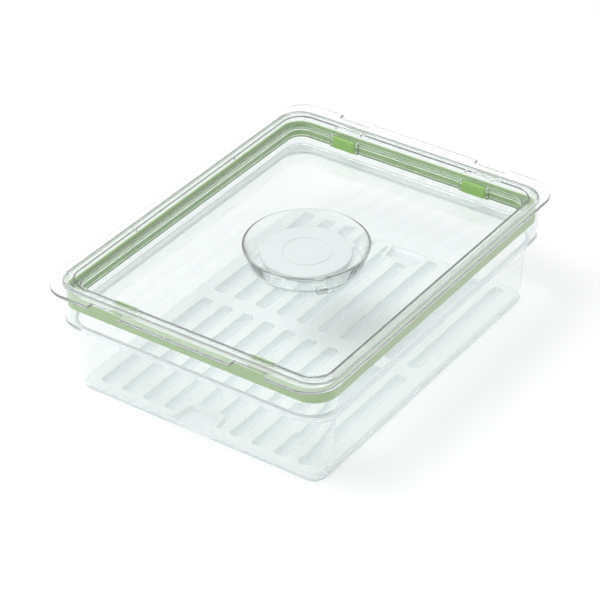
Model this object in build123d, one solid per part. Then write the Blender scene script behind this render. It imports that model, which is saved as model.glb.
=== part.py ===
from build123d import *
import math
import os

# Clear storage bin with a slotted drain tray, and a recessed sealing lid with a turning vent knob.
# Millimetres, +X across the short side, +Y along the long side, +Z up, origin under the bin's middle.

# Bin
rim_width = 235.0
rim_length = 305.4
rim_corner = 20.0
bin_height = 91.8
bin_wall = 2.4
bin_floor = 2.4
band_height = 32.2
band_draft = 0.5
ledge_step = 4.8
ledge_drop = 2.8
ledge_corner = 22.5
lower_draft = 5.6
base_corner = 10.0
base_edge_round = 3.0
floor_edge_round = 2.0
ledge_round = 1.6
rim_edge_round = 0.6

# Drain tray
tray_gap = 1.2
tray_top_height = 4.6
tray_plate = 1.8
tray_skirt = 1.6
tray_corner = 8.5
tray_foot_round = 1.0
slot_count = 10
slot_width = 10.5
slot_corner = 3.6
slot_end_land = 4.8
slot_side_land = 10.7
slot_middle_land = 12.0
finger_notch_width = 32.0
finger_notch_throat = 26.0
finger_notch_depth = 19.0
finger_notch_round = 4.5
finger_notch_land = 2.2
finger_notch_offset = 5.0

# Lid shell
flange_side_overhang = 4.6
flange_end_overhang = 10.1
flange_thickness = 2.2
flange_corner = 23.0
flange_edge_round = 0.8
well_rim_gap = 12.0
well_corner = 12.0
well_depth = 22.8
well_draft = 0.5
well_foot_round = 1.5
well_edge_round = 0.8
slope_reach = 4.6
slope_drop = 5.8
lid_wall = 2.2
panel_thickness = 2.2
panel_edge_round = 1.5
locating_rib_gap = 0.4
locating_rib_width = 1.4
locating_rib_height = 2.4
quarter_spread = 124.0
edge_notch_width = 28.0
edge_notch_depth = 5.6
edge_notch_round = 1.0
tick_rib_thickness = 1.4
tick_rib_height = 1.1

# Gasket and the two ribs that hold it
gasket_gap = 0.3
gasket_top_drop = 5.8
gasket_lip_height = 10.4
gasket_lip_thickness = 1.6
gasket_lip_round = 0.6
gasket_body_drop = 3.0
gasket_body_width = 2.4
gasket_body_height = 4.4
gasket_web = 1.8
gasket_rib_reach = 3.4
gasket_rib_thickness = 1.5
gasket_rib_gap = 0.1

# Green pads in the well
pad_spread = 119.0
pad_width = 20.0
pad_depth = 3.2
pad_height = 9.6
pad_round = 0.8
pad_edge_drop = 0.2
pad_bar_gap = 0.5
pad_bar_width = 2.4
pad_bar_reach = 2.6
pad_shank_width = 12.0
pad_shank_height = 2.2
pad_shank_gap = 0.15
pad_shank_drop = 1.4

# Vent knob
knob_rim_radius = 48.2
knob_base_radius = 42.1
knob_height = 16.7
knob_wall = 2.0
knob_floor = 2.4
knob_rim_land = 0.1
knob_foot_round = 1.2
knob_clearance = 0.3
pedestal_radius = 32.6
pedestal_top_radius = 33.4
pedestal_wall = 1.8
pedestal_notch_count = 6
pedestal_notch_angle = 30.0
pedestal_notch_width = 8.0
pedestal_notch_height = 1.6
lug_angle = -41.0
lug_width = 8.0
lug_height = 6.0
lug_reach = 3.6
mark_angle = -55.0
mark_width = 1.2
mark_height = 4.2
mark_reach = 1.2
window_count = 3
window_inner_radius = 16.0
window_outer_radius = 27.0
window_arc = 44.0
stem_radius = 7.0
stem_clearance = 0.06
stem_neck_radius = 5.0
stem_tip_length = 1.4
retainer_gap = 0.3
retainer_thickness = 1.8
retainer_radius = 12.5
retainer_fit = 0.05
retainer_mouth = 8.5
seal_radius = 29.4
seal_width = 1.6
seal_height = 1.7

# White cap
cap_radius = 34.1
cap_thickness = 2.0
cap_top_height = 9.2
cap_edge_round = 0.8
cap_spigot_height = 4.0
cap_spigot_wall = 1.4
cap_spigot_gap = 0.2
cap_ring_radius = 18.0
cap_ring_width = 0.9
cap_ring_height = 0.3

# Derived sizes of the bin
ledge_top = bin_height - band_height
ledge_foot = ledge_top - ledge_drop
ledge_foot_inset = band_draft + ledge_step
base_inset = ledge_foot_inset + lower_draft
ledge_lift = bin_wall / 2
band_foot_corner = rim_corner - band_draft
length_excess = rim_length - rim_width

# Derived sizes of the lid, which rests on the bin's rim
flange_bottom = bin_height
flange_top = flange_bottom + flange_thickness
flange_width = rim_width + 2 * flange_side_overhang
flange_length = rim_length + 2 * flange_end_overhang
well_width = rim_width - 2 * well_rim_gap
well_length = rim_length - 2 * well_rim_gap
panel_top = flange_top - well_depth
panel_bottom = panel_top - panel_thickness
well_edge = flange_top - slope_drop
slope_angle = math.atan2(slope_drop, slope_reach)
gasket_top = flange_bottom - gasket_top_drop
gasket_bottom = gasket_top - gasket_lip_height
gasket_body_top = gasket_top - gasket_body_drop
gasket_body_bottom = gasket_body_top - gasket_body_height
pad_top = well_edge - pad_edge_drop
pad_bottom = pad_top - pad_height
pad_middle = (pad_top + pad_bottom) / 2
pad_shank_level = pad_middle - pad_shank_drop

# Derived sizes of the vent knob, which turns on the lid's panel
knob_bottom = panel_top + knob_clearance
knob_floor_top = knob_bottom + knob_floor
knob_top = panel_top + knob_height
knob_flare = math.atan2(knob_rim_radius - knob_base_radius, knob_top - knob_bottom)
cap_top = panel_top + cap_top_height
pedestal_top = cap_top - cap_thickness
retainer_top = panel_bottom - retainer_gap
retainer_bottom = retainer_top - retainer_thickness
stem_tip = retainer_bottom - stem_tip_length


# Upright rounded block
def prism(width, length, corner, bottom, top):
    return Pos(0, 0, bottom) * extrude(RectangleRounded(width, length, corner), top - bottom)


# Rounded block whose width, length and corner change from level to level
def tapered(levels):
    sections = [Pos(0, 0, z) * RectangleRounded(w, l, r) for w, l, r, z in levels]
    return loft(sections, ruled=True)


# Upright tube about the Z axis
def ring(outer_radius, inner_radius, bottom, top):
    return Pos(0, 0, bottom) * extrude(Circle(outer_radius) - Circle(inner_radius), top - bottom)


# One level of the bin: inset from the rim outline, then moved inwards by a wall offset
def bin_section(inset, corner, z, offset):
    width = rim_width - 2 * (inset + offset)
    length = rim_length - 2 * (inset + offset)
    return (width, length, corner - offset, z)


# How far the bin's outer face stands inside the rim outline at a height
def bin_inset(z):
    if z >= ledge_top:
        return band_draft * (bin_height - z) / band_height
    if z >= ledge_foot:
        return band_draft + ledge_step * (ledge_top - z) / ledge_drop
    return ledge_foot_inset + lower_draft * (ledge_foot - z) / ledge_foot


# Rounds every edge that lies flat at the given heights
def round_levels(body, rounds):
    for height, radius in rounds:
        flat = body.edges().filter_by(lambda e: all(math.isclose(v.Z, height) for v in e.vertices()))
        body = fillet(flat, radius)
    return body


# Flat ring sector centred on an angle
def sector(inner_radius, outer_radius, arc, angle):
    reach = 2 * outer_radius
    half = math.radians(arc / 2)
    corner_x = reach * math.cos(half)
    corner_y = reach * math.sin(half)
    wedge = make_face(Polyline((0, 0), (corner_x, -corner_y), (corner_x, corner_y), close=True))
    return Rot(0, 0, angle) * ((Circle(outer_radius) - Circle(inner_radius)) & wedge)


# Cutter for the vent windows, turned by an angle
def windows(bottom, top, turn):
    cutter = Part()
    for index in range(window_count):
        angle = turn + index * 360 / window_count
        shape = sector(window_inner_radius, window_outer_radius, window_arc, angle)
        cutter += Pos(0, 0, bottom) * extrude(shape, top - bottom)
    return cutter


# Bin body: lower walls, ledge and upper band in one moulding
def make_bin():
    outer = tapered([
        bin_section(base_inset, base_corner, 0, 0),
        bin_section(ledge_foot_inset, ledge_corner, ledge_foot, 0),
        bin_section(band_draft, band_foot_corner, ledge_top, 0),
        bin_section(0, rim_corner, bin_height, 0),
    ])
    outer = round_levels(outer, [(0, base_edge_round), (ledge_foot, ledge_round), (ledge_top, ledge_round),
                                 (bin_height, rim_edge_round)])
    inner = tapered([
        bin_section(bin_inset(bin_floor), base_corner, bin_floor, bin_wall),
        bin_section(ledge_foot_inset, ledge_corner, ledge_foot + ledge_lift, bin_wall),
        bin_section(band_draft, band_foot_corner, ledge_top + ledge_lift, bin_wall),
        bin_section(0, rim_corner, bin_height, bin_wall),
    ])
    inner = round_levels(inner, [(bin_floor, floor_edge_round), (ledge_foot + ledge_lift, ledge_round),
                                 (ledge_top + ledge_lift, ledge_round)])
    return outer - inner


# Outline of the tray's finger notches, cut well past the tray's ends, with a margin round them
def finger_notches(tray_length, margin):
    cutter = Sketch()
    for side in (-1, 1):
        deep = tray_length / 2 - finger_notch_depth - margin
        beyond = tray_length / 2 + finger_notch_depth
        throat = finger_notch_throat / 2 + margin
        flare = (finger_notch_width - finger_notch_throat) / finger_notch_depth * (beyond - deep) / 2
        notch = make_face(Polyline(
            (-throat, deep),
            (throat, deep),
            (throat + flare, beyond),
            (-throat - flare, beyond),
            close=True))
        cutter += Rot(0, 0, 90 - side * 90) * Pos(finger_notch_offset, 0) * notch
    return cutter


# Drain tray: slotted plate on a low skirt, with a finger notch at each end
def make_tray():
    inset = bin_inset(bin_floor) + bin_wall + tray_gap
    width = rim_width - 2 * inset
    length = width + length_excess
    outline = RectangleRounded(width, length, tray_corner) - finger_notches(length, 0)
    near_notch = outline.vertices().filter_by(lambda v: abs(v.X) < width / 2 - tray_corner - 1)
    outline = fillet(near_notch, finger_notch_round)
    body = Pos(0, 0, bin_floor) * extrude(outline, tray_top_height)
    body = round_levels(body, [(bin_floor, tray_foot_round)])
    body -= Pos(0, 0, bin_floor) * extrude(offset(outline, -tray_skirt), tray_top_height - tray_plate)
    slot_length = length / 2 - slot_end_land - slot_middle_land / 2
    slot_spread = width - 2 * slot_side_land - slot_width
    slots = Sketch()
    for index in range(slot_count):
        x = (index / (slot_count - 1) - 0.5) * slot_spread
        for side in (-1, 1):
            y = side * (slot_middle_land + slot_length) / 2
            slots += Pos(x, y) * RectangleRounded(slot_width, slot_length, slot_corner)
    slots -= finger_notches(length, finger_notch_land)
    return body - Pos(0, 0, bin_floor) * extrude(slots, tray_top_height)


# One level of an outline that keeps the rim's proportions, from its half width
def rim_level(half, corner, z):
    return (2 * half, 2 * half + length_excess, corner, z)


# Upright block that follows the rim's outline, from its half width
def rim_block(half, corner, bottom, top):
    return tapered([rim_level(half, corner, z) for z in (bottom, top)])


# Upright ring that follows the rim's outline, from its outer half width inwards
def rim_ring(half, corner, width, bottom, top):
    return rim_block(half, corner, bottom, top) - rim_block(half - width, corner - width, bottom, top)


# One level of the well's outline, grown outwards from the outline at the well's edge
def well_level(growth, z):
    return (well_width + 2 * growth, well_length + 2 * growth, well_corner + growth, z)


# Well of the lid, as a solid grown outwards by a wall: steep sides, then a slope that opens to a level
def well_solid(wall, bottom, top):
    edge = well_edge - wall * math.tan((math.pi / 2 - slope_angle) / 2)
    foot_growth = wall - well_draft * (edge - bottom) / (well_edge - panel_top)
    top_growth = slope_reach + wall * math.tan(slope_angle / 2)
    body = tapered([well_level(foot_growth, bottom), well_level(wall, edge), well_level(top_growth, top)])
    return round_levels(body, [(edge, well_edge_round)])


# The lid's four quarters, as the side in X and the side in Y
def lid_quarters():
    return [(side_x, side_y) for side_y in (-1, 1) for side_x in (-1, 1)]


# Places in X of the two bars, and of the ticks in line with them, that stand beside a pad
def beside_pad(side_x):
    middle = side_x * pad_spread / 2
    reach = (pad_width + pad_bar_width) / 2 + pad_bar_gap
    return (middle - reach, middle + reach)


# Ribs of the lid: locating rib, the ribs above and below the gasket, and short ticks beside the locating rib
def make_lid_ribs():
    locating_half = rim_width / 2 - bin_wall - locating_rib_gap
    locating_corner = rim_corner - bin_wall - locating_rib_gap
    locating_bottom = flange_bottom - locating_rib_height
    ribs = rim_ring(locating_half, locating_corner, locating_rib_width, locating_bottom, flange_bottom)
    well_half = well_width / 2
    lower_rib_top = gasket_body_bottom - gasket_rib_gap
    upper_rib_bottom = gasket_body_top + gasket_rib_gap
    rib_levels = (
        (lid_wall + gasket_rib_reach, lower_rib_top - gasket_rib_thickness),
        (lid_wall + gasket_body_width, upper_rib_bottom),
    )
    for reach, bottom in rib_levels:
        ribs += rim_ring(well_half + reach, well_corner + reach, reach, bottom, bottom + gasket_rib_thickness)
    tick_size = locating_half - locating_rib_width / 2 - well_half
    tick_place = well_half + tick_size / 2
    tick_middle = flange_bottom - tick_rib_height / 2
    side_tick = Box(tick_size, tick_rib_thickness, tick_rib_height)
    end_tick = Box(tick_rib_thickness, tick_size, tick_rib_height)
    for side_x, side_y in lid_quarters():
        ribs += Pos(side_x * tick_place, side_y * quarter_spread / 2, tick_middle) * side_tick
        for x in beside_pad(side_x):
            ribs += Pos(x, side_y * (tick_place + length_excess / 2), tick_middle) * end_tick
    return ribs


# Lid shell: flange, slope, well, panel, ribs, pad bars and vent windows in one moulding
def make_lid():
    flange = prism(flange_width, flange_length, flange_corner, flange_bottom, flange_top)
    flange = round_levels(flange, [(flange_top, flange_edge_round)])
    well_outer = well_solid(lid_wall, panel_bottom, flange_bottom)
    well_outer = round_levels(well_outer, [(panel_bottom, panel_edge_round)])
    well_inner = well_solid(0, panel_top, flange_top)
    well_inner = round_levels(well_inner, [(panel_top, well_foot_round)])
    shell = flange + well_outer + make_lid_ribs() - well_inner
    notch = Box(edge_notch_width, 2 * edge_notch_depth, 4 * flange_thickness)
    notch = fillet(notch.edges().filter_by(Axis.Z), edge_notch_round)
    bar_depth = pad_bar_reach + lid_wall / 2
    bar = Box(pad_bar_width, bar_depth, pad_height)
    bar_place = well_length / 2 - pad_bar_reach + bar_depth / 2
    shank_slot_height = pad_shank_height + 2 * pad_shank_gap
    shank_slot = Box(pad_shank_width + 2 * pad_shank_gap, 4 * lid_wall, shank_slot_height)
    for side_x, side_y in lid_quarters():
        shell -= Pos(side_x * quarter_spread / 2, side_y * flange_length / 2, flange_bottom) * notch
        for bar_x in beside_pad(side_x):
            shell += Pos(bar_x, side_y * bar_place, pad_middle) * bar
        shell -= Pos(side_x * pad_spread / 2, side_y * well_length / 2, pad_shank_level) * shank_slot
    shell -= windows(panel_bottom, panel_top, 0)
    return shell - Pos(0, 0, panel_bottom) * extrude(Circle(stem_radius + stem_clearance), panel_thickness)


# Gasket: a body held between the two ribs, and a web that carries an upright lip along the bin's wall
def make_gasket():
    well_half = well_width / 2 + lid_wall
    body_half = well_half + gasket_body_width
    body_corner = well_corner + lid_wall + gasket_body_width
    lip_half = rim_width / 2 - bin_inset(gasket_bottom) - bin_wall - gasket_gap
    lip_corner = rim_corner - bin_wall - gasket_gap
    lip = rim_ring(lip_half, lip_corner, gasket_lip_thickness, gasket_bottom, gasket_top)
    lip = round_levels(lip, [(gasket_bottom, gasket_lip_round), (gasket_top, gasket_lip_round)])
    web_inset = gasket_lip_thickness / 2
    web_top = gasket_body_bottom + gasket_web
    web = rim_block(lip_half - web_inset, lip_corner - web_inset, gasket_body_bottom, web_top)
    body = rim_block(body_half, body_corner, gasket_body_bottom, gasket_body_top)
    well = rim_block(well_half, well_corner + lid_wall, gasket_bottom, gasket_top)
    return lip + (web + body - well)


# One pad, with the shank that holds it in the well's end wall
def make_pad(side_x, side_y):
    head = Box(pad_width, pad_depth, pad_height)
    head = fillet(head.edges().filter_by(Axis.Z), pad_round)
    shank = Box(pad_shank_width, lid_wall + pad_depth / 2, pad_shank_height)
    shank = Pos(0, side_y * (lid_wall / 2 + pad_depth / 4), -pad_shank_drop) * shank
    slack = well_draft * (well_edge - pad_bottom) / (well_edge - panel_top)
    y = side_y * (well_length / 2 - slack - pad_depth / 2)
    return Pos(side_x * pad_spread / 2, y, pad_middle) * (head + shank)


# Vent knob: flared cup with a pedestal, a stem through the panel and matching windows
def make_knob():
    cup = revolve(Plane.XZ * make_face(Polyline(
        (0, knob_bottom),
        (knob_base_radius, knob_bottom),
        (knob_rim_radius, knob_top),
        (knob_rim_radius - knob_wall, knob_top),
        (knob_base_radius - knob_wall, knob_floor_top),
        (0, knob_floor_top),
        close=True)), Axis.Z)
    rim_round = (knob_wall - knob_rim_land) * math.cos(knob_flare) / 2
    cup = fillet(cup.edges().group_by(Axis.Z)[-1], rim_round)
    cup = fillet(cup.edges().group_by(Axis.Z)[0], knob_foot_round)
    pedestal = revolve(Plane.XZ * make_face(Polyline(
        (pedestal_radius - pedestal_wall, knob_floor_top),
        (pedestal_radius, knob_floor_top),
        (pedestal_top_radius, pedestal_top),
        (pedestal_top_radius - pedestal_wall, pedestal_top),
        close=True)), Axis.Z)
    for index in range(pedestal_notch_count):
        angle = pedestal_notch_angle + index * 360 / pedestal_notch_count
        notch = Box(4 * pedestal_wall, pedestal_notch_width, 2 * pedestal_notch_height)
        pedestal -= Rot(0, 0, angle) * Pos(pedestal_radius, 0, pedestal_top) * notch
    knob = cup + pedestal
    knob -= windows(knob_bottom, knob_floor_top, 180 / window_count)
    knob += Pos(0, 0, stem_tip) * extrude(Circle(stem_radius), knob_bottom - stem_tip)
    knob -= ring(stem_radius, stem_neck_radius, retainer_bottom - retainer_fit, retainer_top + retainer_fit)
    groove_inner = seal_radius - seal_width / 2
    knob -= ring(seal_radius + seal_width / 2, groove_inner, knob_bottom, panel_top + seal_height)
    lug_size = lug_reach + knob_wall
    lug = Box(lug_size, lug_width, lug_height)
    lug = Pos(knob_base_radius - knob_wall + lug_size / 2, 0, knob_bottom + lug_height / 2) * lug
    mark = Box(mark_reach + pedestal_wall, mark_width, mark_height)
    mark_place = pedestal_radius + (mark_reach - pedestal_wall) / 2
    mark = Pos(mark_place, 0, knob_floor_top + mark_height / 2) * mark
    return knob + Rot(0, 0, lug_angle) * lug + Rot(0, 0, mark_angle) * mark


# Flat seal ring under the knob
def make_seal():
    inner = seal_radius - seal_width / 2
    return ring(seal_radius + seal_width / 2, inner, panel_top, panel_top + seal_height)


# Snap retainer: a split ring in the stem's groove, under the panel
def make_retainer():
    body = ring(retainer_radius, stem_neck_radius + retainer_fit, retainer_bottom, retainer_top)
    slot = Box(2 * retainer_radius, retainer_mouth, 4 * retainer_thickness)
    return body - Pos(retainer_radius, 0, retainer_bottom) * slot


# White cap with a plain raised ring, held by a spigot inside the pedestal
def make_cap():
    disc = Pos(0, 0, pedestal_top) * extrude(Circle(cap_radius), cap_thickness)
    disc = fillet(disc.edges().group_by(Axis.Z)[-1], cap_edge_round)
    spigot_radius = pedestal_radius - pedestal_wall - cap_spigot_gap
    spigot_bottom = pedestal_top - cap_spigot_height
    disc += ring(spigot_radius, spigot_radius - cap_spigot_wall, spigot_bottom, pedestal_top)
    disc += ring(cap_ring_radius + cap_ring_width, cap_ring_radius, cap_top, cap_top + cap_ring_height)
    return disc


os.makedirs("parts", exist_ok=True)
export_step(make_bin(), "parts/bin_body.step")
export_step(make_tray(), "parts/drain_tray.step")
export_step(make_lid(), "parts/lid_shell.step")
export_step(make_gasket(), "parts/lid_gasket.step")
for side_y, end_name in ((-1, "front"), (1, "back")):
    for side_x, side_name in ((-1, "left"), (1, "right")):
        export_step(make_pad(side_x, side_y), f"parts/lid_pad_{end_name}_{side_name}.step")
export_step(make_knob(), "parts/vent_knob.step")
export_step(make_seal(), "parts/vent_seal.step")
export_step(make_retainer(), "parts/vent_retainer.step")
export_step(make_cap(), "parts/vent_cap.step")
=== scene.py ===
import math

import bmesh
import bpy
from mathutils import Matrix, Vector


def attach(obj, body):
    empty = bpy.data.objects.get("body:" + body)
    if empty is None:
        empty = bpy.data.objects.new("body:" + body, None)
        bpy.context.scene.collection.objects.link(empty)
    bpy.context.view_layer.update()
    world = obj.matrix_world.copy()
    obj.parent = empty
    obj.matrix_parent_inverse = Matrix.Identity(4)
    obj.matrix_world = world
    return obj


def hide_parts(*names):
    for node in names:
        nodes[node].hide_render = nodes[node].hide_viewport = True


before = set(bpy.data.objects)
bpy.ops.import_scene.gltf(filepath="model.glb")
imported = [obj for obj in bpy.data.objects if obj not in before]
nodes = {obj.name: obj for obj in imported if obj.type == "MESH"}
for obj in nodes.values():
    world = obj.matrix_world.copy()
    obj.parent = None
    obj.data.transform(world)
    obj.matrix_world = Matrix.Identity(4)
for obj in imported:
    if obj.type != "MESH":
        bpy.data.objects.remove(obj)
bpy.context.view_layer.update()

perMetre = 1000.0  # the sizes of the bin, gasket and pads are in millimetres


# Shader maths: a Wire is one output socket, and sums on it add Math nodes.
class Wire:
    def __init__(self, bench, socket):
        self.bench = bench
        self.socket = socket

    def join(self, operation, first, second):
        return self.bench.node("ShaderNodeMath", {"operation": operation}, {0: first, 1: second})

    def __add__(self, other):
        return self.join("ADD", self, other)

    def __radd__(self, other):
        return self.join("ADD", other, self)

    def __sub__(self, other):
        return self.join("SUBTRACT", self, other)

    def __rsub__(self, other):
        return self.join("SUBTRACT", other, self)

    def __mul__(self, other):
        return self.join("MULTIPLY", self, other)

    def __rmul__(self, other):
        return self.join("MULTIPLY", other, self)

    def highest(self, other):
        return self.join("MAXIMUM", self, other)


# A Bench holds one node tree and makes every node in it.
class Bench:
    def __init__(self, tree):
        self.tree = tree
        tree.nodes.clear()

    def node(self, kind, settings, inputs, output=0):
        made = self.tree.nodes.new(kind)
        for name, value in settings.items():
            if name == "stops":
                ramp = made.color_ramp.elements
                while len(ramp) < len(value):
                    ramp.new(1.0)
                for stop, (place, colour) in zip(ramp, value):
                    stop.position = place
                    stop.color = colour
            else:
                setattr(made, name, value)
        for name, value in inputs.items():
            if isinstance(value, Wire):
                self.tree.links.new(value.socket, made.inputs[name])
            else:
                made.inputs[name].default_value = value
        return Wire(self, made.outputs[output]) if made.outputs else None

    def objectPlace(self):
        return self.node("ShaderNodeTexCoord", {}, {}, "Object")

    def noise(self, scale, detail=2.0, roughness=0.5):
        inputs = {"Vector": self.objectPlace(), "Scale": scale, "Detail": detail, "Roughness": roughness}
        return self.node("ShaderNodeTexNoise", {}, inputs, "Fac")

    def blend(self, factor, first, second):
        inputs = {"Factor": factor, "A": first, "B": second}
        return self.node("ShaderNodeMix", {"data_type": "RGBA"}, inputs, "Result")

    def ramp(self, value, low, high, start, end):
        inputs = {"Value": value, "From Min": low, "From Max": high, "To Min": start, "To Max": end}
        return self.node("ShaderNodeMapRange", {"interpolation_type": "SMOOTHSTEP"}, inputs)

    def bump(self, height, strength, distance):
        inputs = {"Height": height, "Strength": strength, "Distance": distance}
        return self.node("ShaderNodeBump", {}, inputs)


def newMaterial(name):
    material = bpy.data.materials.new(name)
    material.use_nodes = True
    return material, Bench(material.node_tree)


def dress(node, material):
    shown = nodes[node]
    shown.data.materials.clear()
    shown.data.materials.append(material)


# Clear moulded plastic: sight rays bend in it, lamp light and scattered light pass straight through.
# Painted reflection: pale matte bands mixed in by height stand in for the light that bends catch. A band
# is (lowest height, highest height, softness of its edges, share).
def clearPlastic(name, look):
    material, bench = newMaterial(name)
    flow = bench.noise(look["flowScale"], look["flowDetail"])
    body = bench.node("ShaderNodeBsdfPrincipled", {}, {
        "Base Color": look["colour"],
        "Roughness": look["roughness"] + flow * look["roughnessSpread"],
        "IOR": look["ior"],
        "Transmission Weight": look["clarity"],
        "Normal": bench.bump(flow, look["flowStrength"], look["flowDepth"]),
    })
    # painted reflection: a pale matte shader laid over the bands below
    paintedReflection = bench.node("ShaderNodeBsdfPrincipled", {}, {
        "Base Color": look["paintedReflectionColour"],
        "Roughness": look["paintedReflectionRoughness"],
        "IOR": look["ior"],
    })
    height = bench.node("ShaderNodeSeparateXYZ", {}, {"Vector": bench.objectPlace()}, "Z")
    for low, high, soft, share in look["bands"]:
        rise = bench.ramp(height, low - soft, low, 0.0, share)
        fall = bench.ramp(height, high, high + soft, 1.0, 0.0)
        body = bench.node("ShaderNodeMixShader", {}, {0: rise * fall, 1: body, 2: paintedReflection})
    passing = bench.node("ShaderNodeBsdfTransparent", {}, {"Color": look["shadowColour"]})
    shadowRay = bench.node("ShaderNodeLightPath", {}, {}, "Is Shadow Ray")
    diffuseRay = bench.node("ShaderNodeLightPath", {}, {}, "Is Diffuse Ray")
    lit = shadowRay.highest(diffuseRay)
    both = bench.node("ShaderNodeMixShader", {}, {0: lit, 1: body, 2: passing})
    bench.node("ShaderNodeOutputMaterial", {}, {"Surface": both})
    return material


clearLook = {
    "colour": (0.975, 0.992, 0.992, 1),
    "shadowColour": (0.966, 0.976, 0.976, 1),
    "clarity": 0.94,
    "ior": 1.52,
    "roughness": 0.005,
    "roughnessSpread": 0.02,
    "flowScale": 22.0,
    "flowDetail": 3.0,
    "flowStrength": 0.08,
    "flowDepth": 0.0004,
    "paintedReflectionColour": (0.80, 0.86, 0.89, 1),
    "paintedReflectionRoughness": 0.25,
    "bands": [],
}

# The bin's bands are painted reflection: pale at the ledge and at the round of the base.
binLook = dict(clearLook, clarity=0.91, bands=[
    (0.0589, 0.0612, 0.0012, 0.50),  # ledge
    (-0.001, 0.0035, 0.0020, 0.30),  # round of the base
])
knobLook = dict(clearLook, colour=(0.985, 0.996, 0.996, 1))


# Frosted plastic of the drain tray: half clear, with a fine eroded grain.
frostLook = {
    "colour": (0.94, 0.975, 0.965, 1),
    "shadowColour": (0.58, 0.64, 0.63, 1),
    "transmission": 0.22,
    "roughness": 0.34,
    "roughnessSpread": 0.12,
    "ior": 1.49,
    "cloudScale": 30.0,
    "cloudDetail": 3.0,
    "grainScale": 1800.0,
    "grainDetail": 1.0,
    "grainStrength": 0.35,
    "grainDepth": 0.00008,
}


def frostedPlastic(name, look):
    material, bench = newMaterial(name)
    cloud = bench.noise(look["cloudScale"], look["cloudDetail"])
    grain = bench.noise(look["grainScale"], look["grainDetail"])
    body = bench.node("ShaderNodeBsdfPrincipled", {}, {
        "Base Color": look["colour"],
        "Roughness": look["roughness"] + cloud * look["roughnessSpread"],
        "IOR": look["ior"],
        "Transmission Weight": look["transmission"],
        "Normal": bench.bump(grain, look["grainStrength"], look["grainDepth"]),
    })
    passing = bench.node("ShaderNodeBsdfTransparent", {}, {"Color": look["shadowColour"]})
    shadowRay = bench.node("ShaderNodeLightPath", {}, {}, "Is Shadow Ray")
    both = bench.node("ShaderNodeMixShader", {}, {0: shadowRay, 1: body, 2: passing})
    bench.node("ShaderNodeOutputMaterial", {}, {"Surface": both})
    return material


# Silicone: soft satin rubber, a little cloudy, with a fine moulded grain.
def silicone(name, look):
    material, bench = newMaterial(name)
    cloud = bench.noise(look["cloudScale"], look["cloudDetail"])
    grain = bench.noise(look["grainScale"], look["grainDetail"])
    colour = bench.blend(cloud, look["dark"], look["light"])
    body = bench.node("ShaderNodeBsdfPrincipled", {}, {
        "Base Color": colour,
        "Roughness": look["roughness"] + grain * look["roughnessSpread"],
        "IOR": look["ior"],
        "Subsurface Weight": look["soft"],
        "Subsurface Radius": look["softColour"],
        "Subsurface Scale": look["softDepth"],
        "Normal": bench.bump(grain, look["grainStrength"], look["grainDepth"]),
    })
    bench.node("ShaderNodeOutputMaterial", {}, {"Surface": body})
    return material


greenLook = {
    "dark": (0.165, 0.33, 0.05, 1),
    "light": (0.22, 0.41, 0.08, 1),
    "roughness": 0.36,
    "roughnessSpread": 0.14,
    "ior": 1.42,
    "soft": 0.25,
    "softColour": (0.6, 1.0, 0.4),
    "softDepth": 0.0015,
    "cloudScale": 60.0,
    "cloudDetail": 4.0,
    "grainScale": 900.0,
    "grainDetail": 2.0,
    "grainStrength": 0.3,
    "grainDepth": 0.00006,
}

padLook = dict(greenLook, dark=(0.26, 0.46, 0.13, 1), light=(0.33, 0.55, 0.18, 1))
sealLook = dict(greenLook, dark=(0.72, 0.76, 0.76, 1), light=(0.80, 0.84, 0.84, 1))


# White cap: satin moulded plastic with a fine grain.
capLook = {
    "dark": (0.68, 0.735, 0.73, 1),
    "light": (0.72, 0.77, 0.765, 1),
    "roughness": 0.30,
    "roughnessSpread": 0.12,
    "ior": 1.5,
    "cloudScale": 45.0,
    "cloudDetail": 3.0,
    "grainScale": 1500.0,
    "grainDetail": 2.0,
    "grainStrength": 0.3,
    "grainDepth": 0.00005,
}


def satinPlastic(name, look):
    material, bench = newMaterial(name)
    cloud = bench.noise(look["cloudScale"], look["cloudDetail"])
    grain = bench.noise(look["grainScale"], look["grainDetail"])
    colour = bench.blend(cloud, look["dark"], look["light"])
    body = bench.node("ShaderNodeBsdfPrincipled", {}, {
        "Base Color": colour,
        "Roughness": look["roughness"] + grain * look["roughnessSpread"],
        "IOR": look["ior"],
        "Normal": bench.bump(grain, look["grainStrength"], look["grainDepth"]),
    })
    bench.node("ShaderNodeOutputMaterial", {}, {"Surface": body})
    return material


dress("lid_shell", clearPlastic("lidClear", clearLook))
dress("vent_knob", clearPlastic("knobClear", knobLook))
dress("vent_retainer", clearPlastic("retainerClear", clearLook))
dress("drain_tray", frostedPlastic("trayFrosted", frostLook))
gasketGreen = silicone("gasketGreen", greenLook)
padGreen = silicone("padGreen", padLook)
dress("vent_seal", silicone("sealSilicone", sealLook))
dress("vent_cap", satinPlastic("capWhite", capLook))
print("materials done")


# A piece made here: its mesh in place, its material, the body it rides on and the nodes it stands for
def addPiece(name, mesh, material, body, replaced):
    mesh.materials.clear()
    mesh.materials.append(material)
    piece = bpy.data.objects.new(name, mesh)
    bpy.context.scene.collection.objects.link(piece)
    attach(piece, body)
    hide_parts(*replaced)
    return piece


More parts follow.
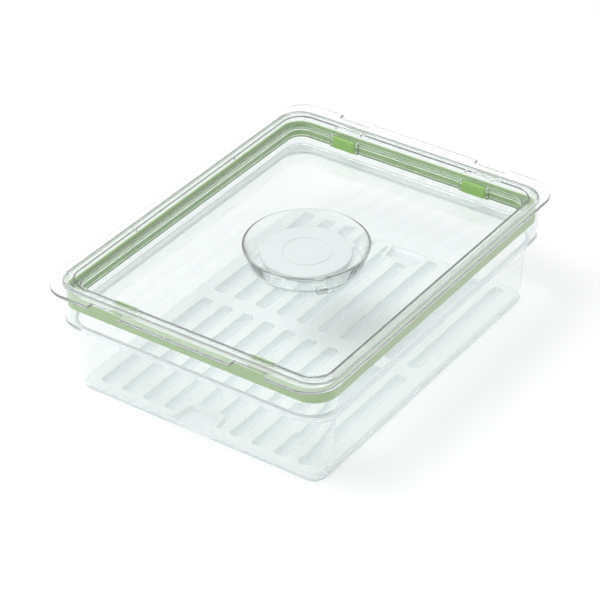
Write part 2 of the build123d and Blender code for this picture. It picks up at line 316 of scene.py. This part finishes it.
# Turns a profile with sharp turns into one with arcs; a point is (inset, plan corner, height, round).
# A short straight stretch is kept each side of an arc, so that flat walls stay flat when they are shaded.
def roundProfile(points, steps, stretch):
    smooth = []
    for before, turn, after in zip(points, points[1:], points[2:]):
        middle = Vector((turn[0], turn[2]))
        back = Vector((before[0], before[2])) - middle
        ahead = Vector((after[0], after[2])) - middle
        half = back.angle(ahead) / 2
        reach = turn[3] / math.tan(half)
        bisector = (back.normalized() + ahead.normalized()).normalized()
        centre = middle + bisector * turn[3] / math.sin(half)
        backCorner = turn[1] + (before[1] - turn[1]) * reach / back.length
        aheadCorner = turn[1] + (after[1] - turn[1]) * reach / ahead.length
        first = middle + back.normalized() * reach - centre
        last = middle + ahead.normalized() * reach - centre
        lead = middle + back.normalized() * (reach + stretch)
        smooth.append((lead.x, backCorner, lead.y))
        for step in range(steps + 1):
            part = step / steps
            spot = centre + first.slerp(last, part) * turn[3]
            plan = (1 - part) ** 2 * backCorner + 2 * part * (1 - part) * turn[1] + part ** 2 * aheadCorner
            smooth.append((spot.x, plan, spot.y))
        trail = middle + ahead.normalized() * (reach + stretch)
        smooth.append((trail.x, aheadCorner, trail.y))
    return smooth


# One rounded rectangle, anticlockwise, with a short straight stretch each side of every corner
def planRing(halfX, halfY, corner, level, steps, stretch):
    ring = []
    for turn in range(4):
        start = turn * math.pi / 2
        signX, signY = ((1, 1), (-1, 1), (-1, -1), (1, -1))[turn]
        centre = Vector((signX * (halfX - corner), signY * (halfY - corner)))
        angles = [start + math.pi / 2 * step / steps for step in range(steps + 1)]
        arc = [Vector((math.cos(angle), math.sin(angle))) for angle in angles]
        entry = centre + arc[0] * corner - Vector((-arc[0].y, arc[0].x)) * stretch
        leave = centre + arc[-1] * corner + Vector((-arc[-1].y, arc[-1].x)) * stretch
        for spot in [entry] + [centre + way * corner for way in arc] + [leave]:
            ring.append((spot.x / perMetre, spot.y / perMetre, level / perMetre))
    return ring


# Closed shell through a list of rings, capped at its first and last ring
def loftRings(name, rings):
    shell = bmesh.new()
    loops = [[shell.verts.new(spot) for spot in ring] for ring in rings]
    for lower, upper in zip(loops, loops[1:]):
        for place in range(len(lower)):
            following = (place + 1) % len(lower)
            shell.faces.new((lower[place], lower[following], upper[following], upper[place]))
    shell.faces.new(loops[0])
    shell.faces.new(loops[-1])
    bmesh.ops.recalc_face_normals(shell, faces=shell.faces)
    for face in shell.faces:
        face.smooth = True
    mesh = bpy.data.meshes.new(name)
    shell.to_mesh(mesh)
    shell.free()
    return mesh


# Bin: one closed shell, from its underside up the outside, over the rim and down the inside to the floor.
binSizes = {
    "rimHalf": (117.5, 152.7),
    "height": 91.8,
    "wall": 2.4,
    "floor": 2.4,
    "bandDraft": 0.5,
    "ledgeTop": 59.2,
    "ledgeFoot": 58.2,
    "ledgeThickness": 2.8,
    "ledgeInset": 5.3,
    "baseInset": 10.9,
    "rimCorner": 20.0,
    "bandCorner": 19.5,
    "ledgeCorner": 22.5,
    "baseCorner": 10.0,
    "rimRound": 0.6,
    "lipRound": 0.3,
    "ledgeRound": 0.9,
    "baseRound": 3.0,
    "floorRound": 2.0,
    "roundSteps": 8,
    "cornerSteps": 20,
    "stretch": 0.6,
    "capRun": 6.0,
}


def makeBin(sizes, material):
    wall = sizes["wall"]
    ledgeTop = sizes["ledgeTop"] + sizes["ledgeThickness"]
    ledgeFoot = sizes["ledgeFoot"] + sizes["ledgeThickness"]
    run = sizes["capRun"]
    lean = (sizes["baseInset"] - sizes["ledgeInset"]) / sizes["ledgeFoot"]
    floorInset = sizes["baseInset"] - lean * sizes["floor"]
    outline = [
        (sizes["baseInset"] + run, sizes["baseCorner"] - run, 0, 0),
        (sizes["baseInset"], sizes["baseCorner"], 0, sizes["baseRound"]),
        (sizes["ledgeInset"], sizes["ledgeCorner"], sizes["ledgeFoot"], sizes["ledgeRound"]),
        (sizes["bandDraft"], sizes["bandCorner"], sizes["ledgeTop"], sizes["ledgeRound"]),
        (0, sizes["rimCorner"], sizes["height"], sizes["rimRound"]),
        (wall, sizes["rimCorner"] - wall, sizes["height"], sizes["lipRound"]),
        (sizes["bandDraft"] + wall, sizes["bandCorner"] - wall, ledgeTop, sizes["ledgeRound"]),
        (sizes["ledgeInset"] + wall, sizes["ledgeCorner"] - wall, ledgeFoot, sizes["ledgeRound"]),
        (floorInset + wall, sizes["baseCorner"] - wall, sizes["floor"], sizes["floorRound"]),
        (floorInset + wall + run, sizes["baseCorner"] - wall - run, sizes["floor"], 0),
    ]
    halfX, halfY = sizes["rimHalf"]
    rings = [
        planRing(halfX - inset, halfY - inset, corner, level, sizes["cornerSteps"], sizes["stretch"])
        for inset, corner, level in roundProfile(outline, sizes["roundSteps"], sizes["stretch"])
    ]
    shell = loftRings("binShell", rings)
    addPiece("binShell", shell, material, "bin", ["bin_body"])


makeBin(binSizes, clearPlastic("binClear", binLook))
print("bin done")


# Gasket: three rounded bands swept along the well, in Geometry Nodes. The body sits in the lid's groove,
# the web crosses the channel and the lip stands along the bin's wall. Sizes are in millimetres.
gasketSizes = {
    "rimHalf": (117.5, 152.7),
    "bands": {
        "Body": {"Inset": 8.6, "Corner": 15.4, "Width": 2.4, "Height": 4.4, "Level": 80.8, "Round": 0.35},
        "Web": {"Inset": 6.8, "Corner": 14.0, "Width": 5.6, "Height": 1.8, "Level": 79.5, "Round": 0.3},
        "Lip": {"Inset": 3.76, "Corner": 16.5, "Width": 1.6, "Height": 10.4, "Level": 80.8, "Round": 0.7},
    },
    "cornerSteps": 16,
    "roundSteps": 4,
}


def sweepTree(sizes, material):
    tree = bpy.data.node_groups.new("gasketSweep", "GeometryNodeTree")
    bench = Bench(tree)
    face = tree.interface
    face.new_socket("Geometry", in_out="INPUT", socket_type="NodeSocketGeometry")
    face.new_socket("Geometry", in_out="OUTPUT", socket_type="NodeSocketGeometry")
    for name in ["Rim Half Width", "Rim Half Length"]:
        face.new_socket(name, in_out="INPUT", socket_type="NodeSocketFloat")
    for band, values in sizes["bands"].items():
        for name in values:
            face.new_socket(band + " " + name, in_out="INPUT", socket_type="NodeSocketFloat")
    given = tree.nodes.new("NodeGroupInput")
    wire = {socket.name: Wire(bench, socket) for socket in given.outputs if socket.name}
    joined = tree.nodes.new("GeometryNodeJoinGeometry")
    for band in sizes["bands"]:
        inset = wire[band + " Inset"]
        path = bench.node("GeometryNodeCurvePrimitiveQuadrilateral", {"mode": "RECTANGLE"}, {
            "Width": (wire["Rim Half Width"] - inset) * 2,
            "Height": (wire["Rim Half Length"] - inset) * 2,
        })
        path = bench.node("GeometryNodeFilletCurve", {"mode": "POLY"}, {
            "Curve": path,
            "Count": sizes["cornerSteps"],
            "Radius": wire[band + " Corner"],
            "Limit Radius": True,
        })
        path = bench.node("GeometryNodeSetCurveNormal", {"mode": "Z_UP"}, {"Curve": path})
        lift = bench.node("ShaderNodeCombineXYZ", {}, {"Z": wire[band + " Level"]})
        path = bench.node("GeometryNodeTransform", {}, {"Geometry": path, "Translation": lift})
        profile = bench.node("GeometryNodeCurvePrimitiveQuadrilateral", {"mode": "RECTANGLE"}, {
            "Width": wire[band + " Width"], "Height": wire[band + " Height"]})
        profile = bench.node("GeometryNodeFilletCurve", {"mode": "POLY"}, {
            "Curve": profile,
            "Count": sizes["roundSteps"],
            "Radius": wire[band + " Round"],
            "Limit Radius": True,
        })
        swept = bench.node("GeometryNodeCurveToMesh", {}, {"Curve": path, "Profile Curve": profile})
        tree.links.new(swept.socket, joined.inputs["Geometry"])
    whole = Wire(bench, joined.outputs["Geometry"])
    whole = bench.node("GeometryNodeRealizeInstances", {}, {"Geometry": whole})
    whole = bench.node("GeometryNodeSetMaterial", {}, {"Geometry": whole, "Material": material})
    bench.node("NodeGroupOutput", {}, {"Geometry": whole})
    return tree


def makeGasket(sizes, material):
    holder = bpy.data.objects.new("gasketPath", bpy.data.meshes.new("gasketPath"))
    bpy.context.scene.collection.objects.link(holder)
    tree = sweepTree(sizes, material)
    sweep = holder.modifiers.new("gasketSweep", "NODES")
    sweep.node_group = tree
    values = {"Rim Half Width": sizes["rimHalf"][0], "Rim Half Length": sizes["rimHalf"][1]}
    for band, parts in sizes["bands"].items():
        values.update({band + " " + name: value for name, value in parts.items()})
    for item in tree.interface.items_tree:
        if item.in_out == "INPUT" and item.name in values:
            sweep[item.identifier] = values[item.name] / perMetre
    swept = holder.evaluated_get(bpy.context.evaluated_depsgraph_get())
    mesh = bpy.data.meshes.new_from_object(swept)
    mesh.name = "gasketRing"
    bpy.data.objects.remove(holder)
    shape = bmesh.new()
    shape.from_mesh(mesh)
    bmesh.ops.recalc_face_normals(shape, faces=shape.faces)
    for side in shape.faces:
        side.smooth = True
    shape.to_mesh(mesh)
    shape.free()
    addPiece("gasketRing", mesh, material, "lid", ["lid_gasket"])


makeGasket(gasketSizes, gasketGreen)
print("gasket done")


# Pads: small rounded blocks against the well's end walls, each with a shank through the wall
padSizes = {
    "spread": 119.0,
    "wallFace": 140.7,
    "slack": 0.288,
    "width": 20.0,
    "depth": 3.2,
    "bottom": 78.4,
    "top": 88.0,
    "round": 0.7,
    "roundSteps": 4,
    "shankWidth": 12.0,
    "shankHeight": 2.2,
    "shankReach": 2.2,
    "shankLevel": 81.8,
    "shankRound": 0.15,
}


def addBlock(shape, low, high, rounding, steps):
    block = bmesh.new()
    bmesh.ops.create_cube(block, size=1.0)
    size = Vector(high) - Vector(low)
    middle = (Vector(high) + Vector(low)) / 2
    for corner in block.verts:
        corner.co = Vector((corner.co.x * size.x, corner.co.y * size.y, corner.co.z * size.z)) + middle
    bmesh.ops.bevel(block, geom=block.edges, offset=rounding, segments=steps, profile=0.5, affect="EDGES")
    for side in block.faces:
        side.smooth = True
    part = bpy.data.meshes.new("part")
    block.to_mesh(part)
    block.free()
    shape.from_mesh(part)
    bpy.data.meshes.remove(part)


def makePad(sizes, sideX, sideY, endName, sideName, material):
    shape = bmesh.new()
    middle = sideX * sizes["spread"] / 2
    back = sizes["wallFace"] - sizes["slack"]
    front = back - sizes["depth"]
    shankFront = back - sizes["depth"] / 2
    shankBack = back + sizes["shankReach"]
    shankLow = sizes["shankLevel"] - sizes["shankHeight"] / 2
    shankHigh = sizes["shankLevel"] + sizes["shankHeight"] / 2
    for halfWidth, near, far, low, high, rounding in (
        (sizes["width"] / 2, front, back, sizes["bottom"], sizes["top"], sizes["round"]),
        (sizes["shankWidth"] / 2, shankFront, shankBack, shankLow, shankHigh, sizes["shankRound"]),
    ):
        ends = sorted((sideY * near, sideY * far))
        lowCorner = [value / perMetre for value in (middle - halfWidth, ends[0], low)]
        highCorner = [value / perMetre for value in (middle + halfWidth, ends[1], high)]
        addBlock(shape, lowCorner, highCorner, rounding / perMetre, sizes["roundSteps"])
    mesh = bpy.data.meshes.new("pad")
    shape.to_mesh(mesh)
    shape.free()
    node = "lid_pad_" + endName + "_" + sideName
    addPiece("pad_" + endName + "_" + sideName, mesh, material, "lid", [node])


for sideY, endName in ((-1, "front"), (1, "back")):
    for sideX, sideName in ((-1, "left"), (1, "right")):
        makePad(padSizes, sideX, sideY, endName, sideName, padGreen)
print("pads done")


# Stage: pale floor, even studio surround and one soft lamp
stageLook = {
    "floorSize": 8.0,
    "floorColour": (0.97, 0.97, 0.97, 1),
    "zenith": 0.78,
    "horizon": 0.67,
    "zenithFoot": 0.5,
    "horizonTop": 0.22,
    "lampSize": 1.3,
    "lampPlace": (-0.73, -0.85, 2.15),
    "lampTarget": (0, 0, 0.05),
    "lampPower": 25.5,
}


def makeFloor(look):
    half = look["floorSize"] / 2
    mesh = bpy.data.meshes.new("floor")
    corners = [(-half, -half, 0), (half, -half, 0), (half, half, 0), (-half, half, 0)]
    mesh.from_pydata(corners, [], [(0, 1, 2, 3)])
    floor = bpy.data.objects.new("floor", mesh)
    bpy.context.scene.collection.objects.link(floor)
    material, bench = newMaterial("floorWhite")
    inputs = {"Base Color": look["floorColour"], "Roughness": 1.0, "Specular IOR Level": 0.0}
    body = bench.node("ShaderNodeBsdfPrincipled", {}, inputs)
    bench.node("ShaderNodeOutputMaterial", {}, {"Surface": body})
    mesh.materials.append(material)


def makeWorld(look):
    world = bpy.data.worlds.new("studio")
    bpy.context.scene.world = world
    world.use_nodes = True
    bench = Bench(world.node_tree)
    direction = bench.node("ShaderNodeTexCoord", {}, {}, "Generated")
    height = bench.node("ShaderNodeSeparateXYZ", {}, {"Vector": direction}, "Z")
    low = look["horizon"]
    high = look["zenith"]
    shade = bench.node("ShaderNodeValToRGB", {"stops": [
        (0.0, (low, low, low, 1)),
        (look["horizonTop"], (low, low, low, 1)),
        (look["zenithFoot"], (high, high, high, 1)),
        (1.0, (high, high, high, 1)),
    ]}, {"Fac": height}, "Color")
    camera = bench.node("ShaderNodeLightPath", {}, {}, "Is Camera Ray")
    glossy = bench.node("ShaderNodeLightPath", {}, {}, "Is Glossy Ray")
    through = bench.node("ShaderNodeLightPath", {}, {}, "Is Transmission Ray")
    seen = camera.highest(glossy).highest(through)
    colour = bench.blend(seen, shade, (1, 1, 1, 1))
    glow = bench.node("ShaderNodeBackground", {}, {"Color": colour, "Strength": 1.0})
    bench.node("ShaderNodeOutputWorld", {}, {"Surface": glow})


def makeLamp(look):
    lamp = bpy.data.lights.new("softbox", "AREA")
    lamp.shape = "SQUARE"
    lamp.size = look["lampSize"]
    lamp.energy = look["lampPower"]
    holder = bpy.data.objects.new("softbox", lamp)
    holder.location = look["lampPlace"]
    holder.rotation_mode = "QUATERNION"
    aim = Vector(look["lampTarget"]) - Vector(look["lampPlace"])
    holder.rotation_quaternion = aim.to_track_quat("-Z", "Y")
    bpy.context.scene.collection.objects.link(holder)


# Camera: rows are its right, up and forward directions, worked out from the photograph's edges
cameraLook = {
    "right": (0.82350058, 0.56727107, -0.00709458),
    "up": (-0.31421487, 0.4664828, 0.82683905),
    "forward": (-0.47235137, 0.67867321, -0.56239386),
    "place": (0.86823, -1.25654, 1.07552),
    "lens": 148.307,
    "sensor": 36.0,
    "nearest": 0.05,
    "furthest": 50.0,
}


def makeCamera(look):
    data = bpy.data.cameras.new("camera")
    data.lens = look["lens"]
    data.sensor_width = look["sensor"]
    data.clip_start = look["nearest"]
    data.clip_end = look["furthest"]
    camera = bpy.data.objects.new("camera", data)
    right, up, forward = (Vector(look[name]) for name in ("right", "up", "forward"))
    turn = Matrix((right, up, -forward)).transposed()
    camera.matrix_world = Matrix.Translation(look["place"]) @ turn.to_4x4()
    bpy.context.scene.collection.objects.link(camera)
    bpy.context.scene.camera = camera


makeFloor(stageLook)
makeWorld(stageLook)
makeLamp(stageLook)
makeCamera(cameraLook)
scene = bpy.context.scene
scene.view_settings.view_transform = "Standard"
scene.cycles.max_bounces = 24
scene.cycles.transmission_bounces = 24
scene.cycles.transparent_max_bounces = 32
print("stage done")
